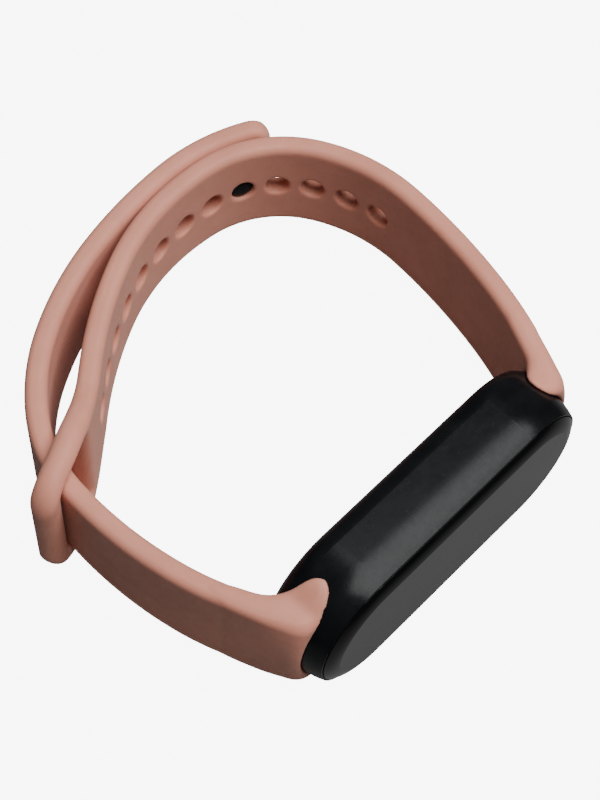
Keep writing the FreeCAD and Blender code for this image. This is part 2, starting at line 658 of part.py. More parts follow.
def strap_root(line, side, half_width):
    """The strap end that cups the pill's round end, with a nose along each side wall."""
    hand = "right" if side > 0 else "left"
    nose, nose_depth, nose_half, back_x, back_depth = (
        float(getattr(sz, f"{hand}_{name}"))
        for name in ("nose_x", "nose_depth", "nose_half_width", "back_x", "back_depth"))
    x, y = float(sz.track_x), float(sz.track_y)
    reach, outward = float(sz.root_reach), -side * float(sz.strap_thick) / 2
    front_x, front = float(sz.root_front_x), float(sz.root_front_depth)
    corners = [V(x + side * nose, y + front, 0), V(x + side * front_x, y + front, 0),
               line.beside(reach, outward), line.beside(reach, -outward),
               V(x + side * back_x, y + back_depth, 0), V(x + side * nose, y + nose_depth, 0)]
    face = Part.Face(Part.makePolygon(corners + corners[:1]))
    face.translate(V(0, 0, float(sz.mid_height) - nose_half))
    block = face.extrude(V(0, 0, 2 * nose_half))
    for place, radius in ((nose, float(sz.nose_rounding)), (front_x, float(sz.root_corner))):
        upright = [e for e in block.Edges if e.BoundBox.ZLength > nose_half
                   and abs(e.CenterOfMass.x - (x + side * place)) < 1e-3]
        block = block.makeFillet(radius, upright)
    flare = taper("x", x + side * nose, nose_half, x + side * float(sz.root_flare_x), half_width)
    even = taper("x", 0, half_width, 1, half_width)
    return block.common(flare.fuse(even))


def finish_root(shape, line, side, half_width):
    """Joins the cupped end, then clears the housing and the lug's seat."""
    shape = shape.fuse(strap_root(line, side, half_width))
    shape = shape.cut(pill_prism(float(sz.case_radius + sz.cup_gap)))
    return shape.cut(lug_shape(side)).removeSplitter()


def add_shape(label, shape):
    feature = doc.addObject("Part::Feature", label)
    feature.Label = label
    feature.Shape = shape
    return feature


# ---------------------------------------------------------------- hole strap

def hole_place(number):
    """Length along the strap of a hole; number 1 is nearest the tracker."""
    return float(sz.first_hole) + (number - 1) * float(sz.hole_pitch)


def loop_panel(line, half_width, start, end, corner):
    """A flat panel seen square to the loop frame, thick enough to cut or keep its slab."""
    middle = (float(sz.loop_start) + line.length) / 2
    point, along, left = line.frame(middle)
    mid = float(sz.mid_height)

    def at(place, height):
        return point + along * (place - middle) - left * THROUGH + V(0, 0, mid + height)

    points = [at(start, -half_width), at(end, -half_width), at(end, half_width), at(start, half_width)]
    panel = Part.Face(Part.makePolygon(points + points[:1])).extrude(left * (2 * THROUGH))
    edges = [e for e in panel.Edges if abs(e.Length - 2 * THROUGH) < 1e-6
             and abs((e.CenterOfMass - point).dot(along) - (end - middle)) < 1e-6]
    return panel.makeFillet(corner, edges)


def make_hole_strap():
    line = StrapLine(HOLE_STRAP_START, HOLE_STRAP_ARCS)
    wide, narrow = float(sz.hole_strap_half_width), float(sz.hole_strap_end_half_width)
    taper_start = line.frame(float(sz.hole_strap_taper_start))[0]
    loop_start = line.frame(float(sz.loop_start))[0]
    band = line.slab(0.0, float(sz.loop_start) + 1, float(sz.strap_thick), wide)
    band = band.common(taper("x", taper_start.x, wide, loop_start.x, narrow))
    for number in range(1, int(float(sz.hole_count)) + 1):
        point, _, left = line.frame(hole_place(number))
        base = point - left * THROUGH + V(0, 0, float(sz.mid_height))
        band = band.cut(Part.makeCylinder(float(sz.hole_radius), 2 * THROUGH, base, left))
    band = finish_root(band, line, 1, wide)
    return add_shape("hole_strap", band.fuse(make_loop_frame(line, narrow)).removeSplitter())


def make_loop_frame(line, strap_half_width):
    """The flat loop that the other strap passes through, with a round bar at its end."""
    start, bar = float(sz.loop_start), float(sz.bar_place)
    half, thick = float(sz.loop_half_width), float(sz.loop_thick)
    flared = line.slab(start, bar, thick, half)
    flared = flared.fuse(post(line.frame(bar)[0], thick / 2, half))
    flared = flared.common(loop_panel(line, half, start - 5, bar + thick / 2, float(sz.loop_corner)))
    for up in (1, -1):
        flared = flared.cut(flare_corner(line, start, strap_half_width, half, up))
    slot_half = float(sz.slot_half_width)
    slot = loop_panel(line, slot_half, float(sz.slot_start), bar + thick, float(sz.slot_corner))
    round_bar = post(line.frame(bar)[0], float(sz.bar_radius), slot_half + float(sz.bar_seat))
    return flared.cut(slot).fuse(round_bar).removeSplitter()


def flare_corner(line, start, strap_half_width, half, up):
    """The material taken away beside the strap where it widens into the loop."""
    point, along, left = line.frame(start)
    mid = float(sz.mid_height)
    flare, past = float(sz.loop_flare), half - strap_half_width
    corners = [(-past, strap_half_width), (0.0, strap_half_width), (flare, half), (flare, half + past),
               (-past, half + past)]
    points = [point + along * run - left * THROUGH + V(0, 0, mid + up * height) for run, height in corners]
    return Part.Face(Part.makePolygon(points + points[:1])).extrude(left * (2 * THROUGH))


# ---------------------------------------------------------------- stud strap and its tail

def make_stud_strap():
    line = StrapLine(STUD_STRAP_START, STUD_STRAP_ARCS)
    thick, wide, narrow = float(sz.strap_thick), float(sz.stud_strap_half_width), float(sz.tail_half_width)
    stud, tail = float(sz.stud_place), float(sz.tail_start)
    far, near, tip = stud - float(sz.far_bend), stud - float(sz.near_bend), stud + float(sz.tip_past_stud)
    far_pivot, near_pivot = line.frame(far)[0], line.frame(near)[0]
    cup = thick / 2 + float(sz.bend_gap)

    narrowing = taper("y", line.frame(0)[0].y, wide, line.frame(tail)[0].y, narrow)
    base = finish_root(line.slab(0.0, tail, thick, wide).common(narrowing), line, -1, wide)
    base = base.fuse(line.slab(tail, far, thick, narrow)).cut(post(far_pivot, cup, wide))
    add_shape("stud_strap", base.removeSplitter())

    middle = line.slab(far, near, thick, narrow).fuse(post(far_pivot, thick / 2, narrow))
    add_shape("stud_strap_middle", middle.cut(post(near_pivot, cup, wide)).removeSplitter())

    end = line.slab(near, tip, thick, narrow).fuse(post(near_pivot, thick / 2, narrow))
    end = round_tip(line, end, tip, narrow)
    peg, cap = make_stud()
    add_shape("stud_strap_end", end.cut(peg).cut(cap).removeSplitter())
    add_shape("clasp_stud", peg)
    add_shape("clasp_cap", cap)


def round_tip(line, shape, tip, half_width):
    """Rounds the free end's two corners."""
    corner = float(sz.tip_corner)
    point, along, left = line.frame(tip)
    for up in (1, -1):
        centre = point - along * corner - left * THROUGH
        centre += V(0, 0, float(sz.mid_height) + up * (half_width - corner))
        sides = [V(0, 0, 0), along * (2 * corner), along * (2 * corner) + V(0, 0, up * 2 * corner),
                 V(0, 0, up * 2 * corner)]
        points = [centre + side for side in sides]
        square = Part.Face(Part.makePolygon(points + points[:1])).extrude(left * (2 * THROUGH))
        shape = shape.cut(square.cut(Part.makeCylinder(corner, 2 * THROUGH, centre, left)))
    return shape


def make_stud():
    """The peg that stands in one hole of the other strap, and its round cap on the tail's outer face."""
    hole_line = StrapLine(HOLE_STRAP_START, HOLE_STRAP_ARCS)
    point, _, inward = hole_line.frame(hole_place(int(float(sz.stud_hole))))
    thick, root = float(sz.strap_thick), float(sz.stud_root_radius)
    flange_thick, flange_depth = float(sz.stud_flange_thick), float(sz.stud_flange_depth)
    tail_face = point - inward * (thick / 2 + float(sz.tail_gap)) + V(0, 0, float(sz.mid_height))
    flange_face = tail_face - inward * flange_depth
    peg_length = flange_depth + float(sz.tail_gap) + thick - float(sz.stud_short)
    peg = Part.makeCone(root, float(sz.stud_tip_radius), peg_length, flange_face, inward)
    flange = Part.makeCylinder(float(sz.stud_flange_radius), flange_thick, flange_face, inward * -1)
    cap_inside = tail_face - inward * (thick - float(sz.cap_thick) + float(sz.cap_proud))
    pin_length = (flange_face - cap_inside).dot(inward)
    pin = Part.makeCylinder(float(sz.stud_pin_radius), pin_length, cap_inside, inward)
    cap = Part.makeCylinder(float(sz.cap_radius), float(sz.cap_thick), cap_inside, inward * -1)
    return peg.fuse([flange, pin]).removeSplitter(), cap


# ---------------------------------------------------------------- build, check and write

def build_all():
    make_housing()
    make_glass()
    make_ring("glass_adhesive", sz.glass_back_depth, sz.glass_seat_depth - sz.glass_back_depth, case_half,
              sz.glass_radius, sz.glass_radius - sz.adhesive_width)
    stadium_plate("touch_film", sz.glass_back_depth, sz.touch_thick, case_half, sz.touch_radius)
    make_display()
    make_display_flex()
    make_mid_frame()
    make_battery()
    make_board()
    electronics = make_electronics()
    make_shield_can()
    make_ring("window_gasket", sz.window_ledge_depth, sz.window_gasket_thick, sz.window_half_length,
              sz.window_flange_radius, sz.window_plug_radius + sz.fit_gap)
    make_sensor_window()
    make_motor()
    make_hole_strap()
    make_stud_strap()
    for label, side in (("strap_lug_right", 1), ("strap_lug_left", -1)):
        add_shape(label, lug_shape(side))
    doc.recompute()
    straps = [o for o in doc.Objects if o.TypeId == "Part::Feature"]
    bodies = [o for o in doc.Objects if o.TypeId == "PartDesign::Body"]
    return bodies + electronics + straps


nodes = build_all()
for thing in doc.Objects:
    if "Invalid" in thing.State or "Error" in thing.State:
        raise RuntimeError(f"{thing.Label} failed: {thing.State}")
for node in nodes:
    if node.Shape.isNull() or not node.Shape.isValid():
        raise RuntimeError(f"{node.Label} has no valid shape")
for node in nodes:
    node.Shape.exportStep(f"parts/{node.Label}.step")
    print(f"{node.Label}: {node.Shape.Volume:.2f} mm3, {len(node.Shape.Solids)} solid(s)")
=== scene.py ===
import math

import bmesh
import bpy
from mathutils import Matrix, Vector


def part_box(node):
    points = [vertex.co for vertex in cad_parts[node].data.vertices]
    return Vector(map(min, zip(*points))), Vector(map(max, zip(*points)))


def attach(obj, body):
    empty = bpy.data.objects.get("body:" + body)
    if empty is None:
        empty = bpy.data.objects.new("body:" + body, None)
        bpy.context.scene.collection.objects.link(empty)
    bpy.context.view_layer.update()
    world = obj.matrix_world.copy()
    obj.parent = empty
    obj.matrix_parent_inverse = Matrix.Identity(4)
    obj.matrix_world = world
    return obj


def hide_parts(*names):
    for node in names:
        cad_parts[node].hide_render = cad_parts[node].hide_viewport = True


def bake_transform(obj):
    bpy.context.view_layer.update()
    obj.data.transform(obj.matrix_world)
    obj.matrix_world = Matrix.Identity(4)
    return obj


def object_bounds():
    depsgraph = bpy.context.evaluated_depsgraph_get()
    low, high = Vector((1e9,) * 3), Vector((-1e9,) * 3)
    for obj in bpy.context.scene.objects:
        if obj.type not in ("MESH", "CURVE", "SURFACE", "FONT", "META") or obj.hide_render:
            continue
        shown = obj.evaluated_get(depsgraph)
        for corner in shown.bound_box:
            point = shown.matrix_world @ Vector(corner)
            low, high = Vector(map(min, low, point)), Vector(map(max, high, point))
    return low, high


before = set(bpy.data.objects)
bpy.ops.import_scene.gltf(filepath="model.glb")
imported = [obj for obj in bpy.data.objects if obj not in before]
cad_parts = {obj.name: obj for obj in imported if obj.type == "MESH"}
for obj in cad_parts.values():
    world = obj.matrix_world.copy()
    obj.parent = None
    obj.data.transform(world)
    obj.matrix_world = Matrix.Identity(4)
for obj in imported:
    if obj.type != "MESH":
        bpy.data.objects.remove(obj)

# A fitness tracker band lying on its long edge. Shapes are worked out in millimetres, in the frame that the
# CAD nodes share, and scaled to metres when a piece is finished.

CAD_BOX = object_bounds()
MM = 0.001
scene = bpy.context.scene

case_low, case_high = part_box("body_housing")
CASE_RADIUS, SEAM_DEPTH = 10.35, -2.0
CASE_HALF = (case_high.x - case_low.x) / 2 / MM - CASE_RADIUS
# The tracker's middle, behind the seam between its housing and its glass. Depths count back from here.
TRACK = Vector(((case_low.x + case_high.x) / 2 / MM, case_low.y / MM - SEAM_DEPTH,
                (case_low.z + case_high.z) / 2 / MM))


# ---------------------------------------------------------------- camera

AZIMUTH, ELEVATION, ROLL = math.radians(-49.5), math.radians(60.1), 0.061
DISTANCE, LENS, SENSOR = 248.4, 89.6, 36
AIM = Vector((1.9, 24.83, 0))


def add_camera():
    back = Vector((math.sin(AZIMUTH) * math.cos(ELEVATION), -math.cos(AZIMUTH) * math.cos(ELEVATION),
                   math.sin(ELEVATION)))
    right = Vector((math.cos(AZIMUTH), math.sin(AZIMUTH), 0))
    up = back.cross(right)
    right, up = (math.cos(ROLL) * right + math.sin(ROLL) * up, math.cos(ROLL) * up - math.sin(ROLL) * right)
    target = TRACK + AIM
    data = bpy.data.cameras.new("camera")
    data.lens = LENS
    data.sensor_width = SENSOR
    data.clip_start = 0.01
    camera = bpy.data.objects.new("camera", data)
    scene.collection.objects.link(camera)
    turn = Matrix((right, up, back)).transposed().to_4x4()
    camera.matrix_world = Matrix.Translation((target + back * DISTANCE) * MM) @ turn
    scene.camera = camera


add_camera()


# ---------------------------------------------------------------- strap middle lines

class StrapLine:
    """A strap's middle line in plan: tangent arcs, measured by length from the tracker."""

    def __init__(self, start, arcs):
        x, y, heading = start
        x, y, heading = x + TRACK.x, y + TRACK.y, math.radians(heading)
        self.pieces = []
        self.length = 0.0
        for radius, turn in arcs:
            bend = math.copysign(1 / radius, turn)
            run = radius * abs(math.radians(turn))
            self.pieces.append((self.length, x, y, heading, bend))
            x += (math.sin(heading + bend * run) - math.sin(heading)) / bend
            y -= (math.cos(heading + bend * run) - math.cos(heading)) / bend
            heading += bend * run
            self.length += run

    def at(self, place):
        """Point, direction of travel and direction to its left, at mid height."""
        piece = self.pieces[0]
        for other in self.pieces:
            if place >= other[0]:
                piece = other
        start, x, y, heading, bend = piece
        now = heading + bend * (place - start)
        point = Vector((x + (math.sin(now) - math.sin(heading)) / bend,
                        y - (math.cos(now) - math.cos(heading)) / bend, TRACK.z))
        return point, Vector((math.cos(now), math.sin(now), 0)), Vector((-math.sin(now), math.cos(now), 0))

    def place(self, along, left, height):
        point, _, side = self.at(along)
        return point + side * left + Vector((0, 0, height))


# Where each line starts, from the tracker's middle, and its heading. Then its arcs as (radius, turn in
# degrees), where a positive turn is to the left.
HOLED = StrapLine((22.5, 2.8, 61.5), [(63, 14), (88, 10.5), (24.5, 32.5), (16.3, 53), (32.5, 34),
                                      (59, 15), (53, -21.5)])
STUDDED = StrapLine((-21.3, 2.2, 125), [(39.5, -23), (54.5, -17.5), (20.5, -31.5), (29.5, -22.5),
                                        (46.5, -17.5), (65.5, -12.5), (27.5, -31.5)])

# Half sizes across the straps: at the root, then how much narrower they get along the way.
HOLED_HALF, HOLED_TAPER = 8.05, 0.45
STUDDED_HALF, STUDDED_TAPER, STUDDED_TAPER_END = 7.9, 0.5, 35
HOLED_ROOT_HALF, STUDDED_ROOT_HALF = 8.02, 7.86
HALF_THICK, THINNEST = 1.425, 0.15
EDGE, LARGEST_EDGE = 1.1, 0.98
NEARLY_ROUND = 0.999

# Places along the straps, and the sizes of what lies there.
FIRST_HOLE, HOLE_PITCH, HOLE_COUNT, STUD_HOLE, HOLE_RADIUS, HOLE_RIM = 35.5, 5.1, 13, 5, 1.7, 0.3
LOOP_START, LOOP_FLARE_START, LOOP_FLARE = 101.5, 4.5, 6.0
LOOP_HALF, LOOP_HALF_THICK, LOOP_CORNER = 10.35, 1.75, 5.4
LOOP_EDGE = LOOP_HALF_THICK - 0.1
BAR_PLACE, BAR_HALF = 114.1, 1.6
SLOT_START, SLOT_HALF, SLOT_ROUNDING = 104.8, 7.75, 1.3
STUD_PLACE, NEAR_BEND, FAR_BEND, BEND_REACH = 94.4, 13.0, 28.0, 4.0
TIP_PAST_STUD, TIP_CORNER, TIP_ROUNDING = 5.3, 3.0, 1.2
TAIL_GAP, STUD_SHORT = 0.27, 0.3
STATION_STEP, LOOP_FINE, TIP_FINE = 0.6, 5.6, 3.2


# ---------------------------------------------------------------- mesh helpers

def mesh_object(name, bm):
    mesh = bpy.data.meshes.new(name)
    bmesh.ops.recalc_face_normals(bm, faces=bm.faces)
    bm.to_mesh(mesh)
    bm.free()
    obj = bpy.data.objects.new(name, mesh)
    scene.collection.objects.link(obj)
    return obj


def skin(bm, rows):
    """Joins each ring of vertices to the next with a band of faces."""
    count = len(rows[0])
    for a, b in zip(rows, rows[1:]):
        for i in range(count):
            j = (i + 1) % count
            bm.faces.new((a[i], a[j], b[j], b[i]))


def loft(name, rings):
    """Skins a list of equal rings of points and caps both ends."""
    bm = bmesh.new()
    rows = [[bm.verts.new(p) for p in ring] for ring in rings]
    skin(bm, rows)
    bm.faces.new(rows[0])
    bm.faces.new(list(reversed(rows[-1])))
    return mesh_object(name, bm)


def rounded_rectangle(half_a, half_b, corner, steps=8):
    """Points round a rectangle with rounded corners, counter-clockwise."""
    points = []
    for quarter, (sa, sb) in enumerate(((1, 1), (-1, 1), (-1, -1), (1, -1))):
        for i in range(steps + 1):
            angle = math.pi / 2 * (quarter + i / steps)
            points.append((sa * (half_a - corner) + corner * math.cos(angle),
                           sb * (half_b - corner) + corner * math.sin(angle)))
    return points


def round_over(radius, distance):
    """How far a rounded edge has pulled in at a distance from the face it runs into."""
    if distance >= radius:
        return 0.0
    return radius - math.sqrt(max(0.0, radius ** 2 - (radius - max(distance, 0.0)) ** 2))


def smoothstep(low, high, value):
    """Rises from 0 to 1 between low and high, level at both."""
    t = min(1.0, max(0.0, (value - low) / (high - low)))
    return t * t * (3 - 2 * t)


def apply_modifiers(obj):
    depsgraph = bpy.context.evaluated_depsgraph_get()
    mesh = bpy.data.meshes.new_from_object(obj.evaluated_get(depsgraph))
    obj.modifiers.clear()
    old = obj.data
    obj.data = mesh
    bpy.data.meshes.remove(old)
    return obj


def remove(obj):
    mesh = obj.data
    bpy.data.objects.remove(obj)
    bpy.data.meshes.remove(mesh)


def join(name, parts):
    bm = bmesh.new()
    for part in parts:
        bm.from_mesh(part.data)
        remove(part)
    return mesh_object(name, bm)


def cut(obj, cutter):
    """Takes the cutter's volume away; the cutter stays for the caller to remove."""
    modifier = obj.modifiers.new("cut", "BOOLEAN")
    modifier.operation = "DIFFERENCE"
    modifier.solver = "EXACT"
    modifier.object = cutter
    return apply_modifiers(obj)


def soften(obj, voxel, rounds):
    """Merges overlapping shells into one skin and rounds its sharp edges a little, as moulded silicone."""
    remesh = obj.modifiers.new("remesh", "REMESH")
    remesh.mode = "VOXEL"
    remesh.voxel_size = voxel
    smooth = obj.modifiers.new("smooth", "SMOOTH")
    smooth.factor = 0.5
    smooth.iterations = rounds
    return apply_modifiers(obj)


def finish_piece(obj, material):
    """Scales a finished mesh to metres, shades it smooth and gives it its material."""
    obj.data.transform(Matrix.Scale(MM, 4))
    obj.data.materials.clear()
    obj.data.materials.append(material)
    for polygon in obj.data.polygons:
        polygon.use_smooth = True
    return obj


# ---------------------------------------------------------------- strap shapes

def sweep(name, line, stations, section):
    """A strap swept along its line; section gives half thickness, half width and edge rounding."""
    rings = []
    for place in stations:
        half_thick, half_width, edge = section(place)
        rings.append([line.place(place, left, height)
                      for left, height in rounded_rectangle(half_thick, half_width, edge)])
    return loft(name, rings)


def opening_cutter(name, line, place, half_along, half_high, corner, half_thick, edge):
    """A cutter through the strap that flares at both faces, so that the opening gets rounded rims."""
    beyond, steps = 2.5, 6
    levels = [-half_thick - beyond]
    levels += [-half_thick + edge * i / steps for i in range(steps + 1)]
    levels += [half_thick - edge * (steps - i) / steps for i in range(steps + 1)]
    levels += [half_thick + beyond]
    rings = []
    for left in levels:
        out = round_over(edge, half_thick - abs(left))
        ring = rounded_rectangle(half_along + out, half_high + out, corner + out * NEARLY_ROUND)
        rings.append([line.place(place + a, left, b) for a, b in ring])
    return loft(name, rings)


def smooth_outline(points, steps=6):
    """A closed curve through points, rounded between them."""
    outline = []
    count = len(points)
    for i, here in enumerate(points):
        before, after, beyond = points[i - 1], points[(i + 1) % count], points[(i + 2) % count]
        for k in range(steps):
            t = k / steps
            outline.append(0.5 * (2 * here + (after - before) * t
                                  + (2 * before - 5 * here + 4 * after - beyond) * t ** 2
                                  + (3 * here - before - 3 * after + beyond) * t ** 3))
    return outline


# Strap ends in plan, as distances out and back from the tracker's middle, then how much further out the
# place lies at mid height: down the outer face, round the nose that lies on the side wall, and up the
# inner face.
RIGHT_END = [(25.4, 5.6, 0.3), (24.2, 3.2, 0.9), (23.1, 1.3, 1.5), (21.7, 0.4, 2.1), (20.3, 0.7, 2.0),
             (19.6, 2.2, 0.6), (19.5, 3.5, 0), (20.1, 4.5, 0), (21.3, 5.4, 0), (22.6, 6.8, 0)]
LEFT_END = [(25.5, 5.6, 0.3), (24.2, 3.0, 0.9), (23.0, 1.2, 1.5), (21.3, 0.4, 2.3), (18.9, 0.7, 2.6),
            (17.5, 2.0, 1.0), (17.3, 3.3, 0), (18.2, 4.5, 0), (20.5, 5.7, 0), (22.7, 7.6, 0)]
ROOT_END, ROOT_DIVE, BAND_START = 9.5, 2.5, 6.5
ROOT_LIFT, ROOT_BLEND, NOSE_ROUNDING = 0.7, 0.5, 0.25


def root_half_width(reach, plain):
    """Half the strap's width over its end: even beside the tracker, following its round end on top of it."""
    over = math.sqrt(max(0.0, (CASE_RADIUS + ROOT_LIFT) ** 2 - max(0.0, reach - CASE_HALF) ** 2))
    return (plain + over + math.hypot(plain - over, ROOT_BLEND)) / 2


def root_block(name, line, side, plain):
    """The strap end that cups the tracker, with a nose lying along each side wall."""
    outward = -side * HALF_THICK * LARGEST_EDGE

    def beside(along, left):
        point = line.place(along, left, 0)
        return Vector((point.x, point.y, 0))

    corners = [Vector((TRACK.x + side * x, TRACK.y + y, out))
               for x, y, out in (RIGHT_END if side > 0 else LEFT_END)]
    dive = ROOT_END + ROOT_DIVE
    outline = smooth_outline([beside(dive, outward * 0.5), beside(ROOT_END, outward)] + corners
                             + [beside(ROOT_END, -outward), beside(dive, -outward * 0.5)])
    count = len(outline)

    def half_width(point):
        return root_half_width(side * (point.x - TRACK.x), plain)

    def inward(i):
        along = (outline[(i + 1) % count] - outline[i - 1]).xy.normalized()
        return Vector((along.y, -along.x, 0)) * side

    steps = 6
    shares = [i / steps for i in range(steps + 1)]
    levels = [(-1, share, 1.0) for share in shares]
    levels += [(1, 1.0, quarter / 4) for quarter in range(-3, 4)]
    levels += [(1, share, 1.0) for share in reversed(shares)]
    bm = bmesh.new()
    rows = []
    for up, share, span in levels:
        row = []
        for i, point in enumerate(outline):
            edge = EDGE + NOSE_ROUNDING * max(0.0, point.z)
            moved = point + inward(i) * round_over(edge, edge * share)
            height = up * span * (half_width(moved) - edge * share)
            bulge = side * max(0.0, 1 - (height / plain) ** 2) * point.z
            row.append(bm.verts.new((moved.x + bulge, moved.y, TRACK.z + height)))
        rows.append(row)
    skin(bm, rows)
    for row, up in ((rows[0], -1), (rows[-1], 1)):
        cover(bm, row, lambda point: TRACK.z + up * half_width(point))
    return mesh_object(name, bm)


def cover(bm, row, height, columns=6):
    """Closes a long ring with strips that run across it, lifted to height between its two sides."""
    strips = []
    for i in range(len(row) // 2):
        near, far = row[i], row[-1 - i]
        between = []
        if 0 < i < len(row) // 2 - 1:
            for k in range(1, columns):
                point = near.co.lerp(far.co, k / columns)
                between.append(bm.verts.new((point.x, point.y, height(point))))
        strips.append([near] + between + [far])
    for a, b in zip(strips, strips[1:]):
        if len(a) == len(b):
            for k in range(len(a) - 1):
                bm.faces.new((a[k], a[k + 1], b[k + 1], b[k]))
        else:
            bm.faces.new(a + b[::-1])


def tracker_cutter():
    """The space the housing needs at rest and while it slides out forwards."""
    gap, slide, back_start, back_end, back_rounding = 0.06, 20.0, 5.0, 7.5, 2.5
    back_steps, end_steps = 8, 32
    levels = [(-slide, CASE_RADIUS + gap)]
    for i in range(back_steps + 1):
        depth = back_start + (back_end - back_start) * i / back_steps
        levels.append((depth + gap, CASE_RADIUS + gap - round_over(back_rounding, back_end - depth)))
    rings = []
    for depth, radius in levels:
        ring = []
        for end in (1, -1):
            for i in range(end_steps + 1):
                angle = -math.pi / 2 + math.pi * i / end_steps
                ring.append(TRACK + Vector((end * (CASE_HALF + radius * math.cos(angle)), depth,
                                            end * radius * math.sin(angle))))
        rings.append(ring)
    return loft("tracker_cutter", rings)


def hole_strap_section(place):
    """Half thickness, half width and edge rounding; it widens into the loop frame, whose end is round."""
    width = HOLED_HALF - HOLED_TAPER * min(1.0, place / LOOP_START)
    flare = smoothstep(LOOP_START - LOOP_FLARE_START, LOOP_START + LOOP_FLARE, place)
    width += (LOOP_HALF - width) * flare
    half_thick = HALF_THICK + (LOOP_HALF_THICK - HALF_THICK) * flare
    edge = EDGE + (LOOP_EDGE - EDGE) * flare
    end = BAR_PLACE + LOOP_HALF_THICK
    width -= round_over(LOOP_CORNER, end - place)
    half_thick = max(THINNEST, half_thick - round_over(LOOP_HALF_THICK, end - place))
    return half_thick, width, min(edge, half_thick * LARGEST_EDGE)


def stud_strap_section(place):
    """Half thickness, half width and edge rounding, up to the tail's rounded tip."""
    width = STUDDED_HALF - STUDDED_TAPER * min(1.0, place / STUDDED_TAPER_END)
    end = STUD_PLACE + TIP_PAST_STUD
    half_thick = max(THINNEST, HALF_THICK - round_over(TIP_ROUNDING, end - place))
    width -= round_over(TIP_CORNER, end - place)
    return half_thick, width, min(EDGE, half_thick * LARGEST_EDGE)


def stations(start, end, step, fine):
    """Places along a strap, closer together over the fine length at its rounded end."""
    short_of_end, steps = 0.004, 14
    places = [start + step * i for i in range(int((end - fine - start) / step) + 1)]
    places += [end - fine * (1 - math.sin(math.pi / 2 * i / steps)) for i in range(steps)]
    places.append(end - short_of_end)
    return sorted(set(round(p, 4) for p in places))


VOXEL, SMOOTHING_ROUNDS = 0.17, 8


def make_hole_strap(cutter):
    """The holed strap and its loop frame, as one skin."""
    places = stations(BAND_START, BAR_PLACE + LOOP_HALF_THICK, STATION_STEP, LOOP_FINE)
    band = sweep("band", HOLED, places, hole_strap_section)
    openings = [opening_cutter("hole", HOLED, FIRST_HOLE + i * HOLE_PITCH, HOLE_RADIUS, HOLE_RADIUS,
                               HOLE_RADIUS * NEARLY_ROUND, HALF_THICK, HOLE_RIM) for i in range(HOLE_COUNT)]
    slot_end = BAR_PLACE - BAR_HALF
    openings.append(opening_cutter("slot", HOLED, (SLOT_START + slot_end) / 2, (slot_end - SLOT_START) / 2,
                                   SLOT_HALF, SLOT_ROUNDING, LOOP_HALF_THICK, SLOT_ROUNDING))
    cutters = join("openings", openings)
    cut(band, cutters)
    remove(cutters)
    root = root_block("root", HOLED, 1, HOLED_ROOT_HALF)
    for part in (band, root):
        cut(part, cutter)
    return soften(join("holed_strap", [band, root]), VOXEL, SMOOTHING_ROUNDS)


def make_stud_strap(cutter):
    """The studded strap as one skin, with the recess that its stud's cap sits in."""
    places = stations(BAND_START, STUD_PLACE + TIP_PAST_STUD, STATION_STEP, TIP_FINE)
    band = sweep("band", STUDDED, places, stud_strap_section)
    root = root_block("root", STUDDED, -1, STUDDED_ROOT_HALF)
    for part in (band, root):
        cut(part, cutter)
    recess = stud_lathe("recess", [(0, 0.34), (3.3, 0.34), (3.52, 0.2), (3.62, -0.4), (3.62, -2.0),
                                   (0, -2.0)])
    cut(band, recess)
    remove(recess)
    return soften(join("studded_strap", [band, root]), VOXEL, SMOOTHING_ROUNDS)


def stud_axis():
    """The outer face's middle and the inward direction of the clasp stud."""
    point, _, inward = HOLED.at(FIRST_HOLE + (STUD_HOLE - 1) * HOLE_PITCH)
    outer_face = point - inward * (3 * HALF_THICK + TAIL_GAP)
    return outer_face, inward


def lathe(name, origin, axis, profile, segments=64):
    """Turns a profile of (radius, distance along the axis) points about the axis."""
    side = axis.cross(Vector((0, 0, 1))).normalized()
    other = axis.cross(side)
    bm = bmesh.new()
    rows = []
    for radius, along in profile:
        if radius < 1e-6:
            rows.append([bm.verts.new(origin + axis * along)])
            continue
        rows.append([bm.verts.new(origin + axis * along + (side * math.cos(a) + other * math.sin(a)) * radius)
                     for a in (2 * math.pi * i / segments for i in range(segments))])
    for a, b in zip(rows, rows[1:]):
        for i in range(segments):
            j = (i + 1) % segments
            ring = [a[i % len(a)], a[j % len(a)], b[j % len(b)], b[i % len(b)]]
            unique = list(dict.fromkeys(ring))
            if len(unique) > 2:
                bm.faces.new(unique)
    return mesh_object(name, bm)


def stud_lathe(name, profile):
    """Turns a profile about the stud's axis, with heights counted inwards from the tail's outer face."""
    origin, inward = stud_axis()
    return lathe(name, origin, inward, profile)


def split_tail(obj):
    """Cuts the strap across its tail's middle stretch, and keeps the whole strap's shading on both parts."""
    point, along, _ = STUDDED.at(STUD_PLACE - (NEAR_BEND + FAR_BEND) / 2)
    bm = bmesh.new()
    bm.from_mesh(obj.data)
    bmesh.ops.bisect_plane(bm, geom=bm.verts[:] + bm.edges[:] + bm.faces[:], plane_co=point, plane_no=along)
    bm.normal_update()
    pieces = []
    for name, keep in (("stud_strap_band", -1), ("stud_strap_tail", 1)):
        part = bm.copy()
        part.faces.ensure_lookup_table()
        part.verts.ensure_lookup_table()
        gone = [f for f in part.faces if (f.calc_center_median() - point).dot(along) * keep < 0]
        layer = part.verts.layers.float_vector.new("whole_normal")
        for vert in part.verts:
            vert[layer] = vert.normal
        bmesh.ops.delete(part, geom=gone, context="FACES")
        normals = [Vector(v[layer]) for v in part.verts]
        mesh = bpy.data.meshes.new(name)
        part.to_mesh(mesh)
        part.free()
        for polygon in mesh.polygons:
            polygon.use_smooth = True
        mesh.normals_split_custom_set_from_vertices(normals)
        mesh.attributes.remove(mesh.attributes["whole_normal"])
        piece = bpy.data.objects.new(name, mesh)
        scene.collection.objects.link(piece)
        pieces.append(piece)
    bm.free()
    remove(obj)
    return pieces


# ---------------------------------------------------------------- materials

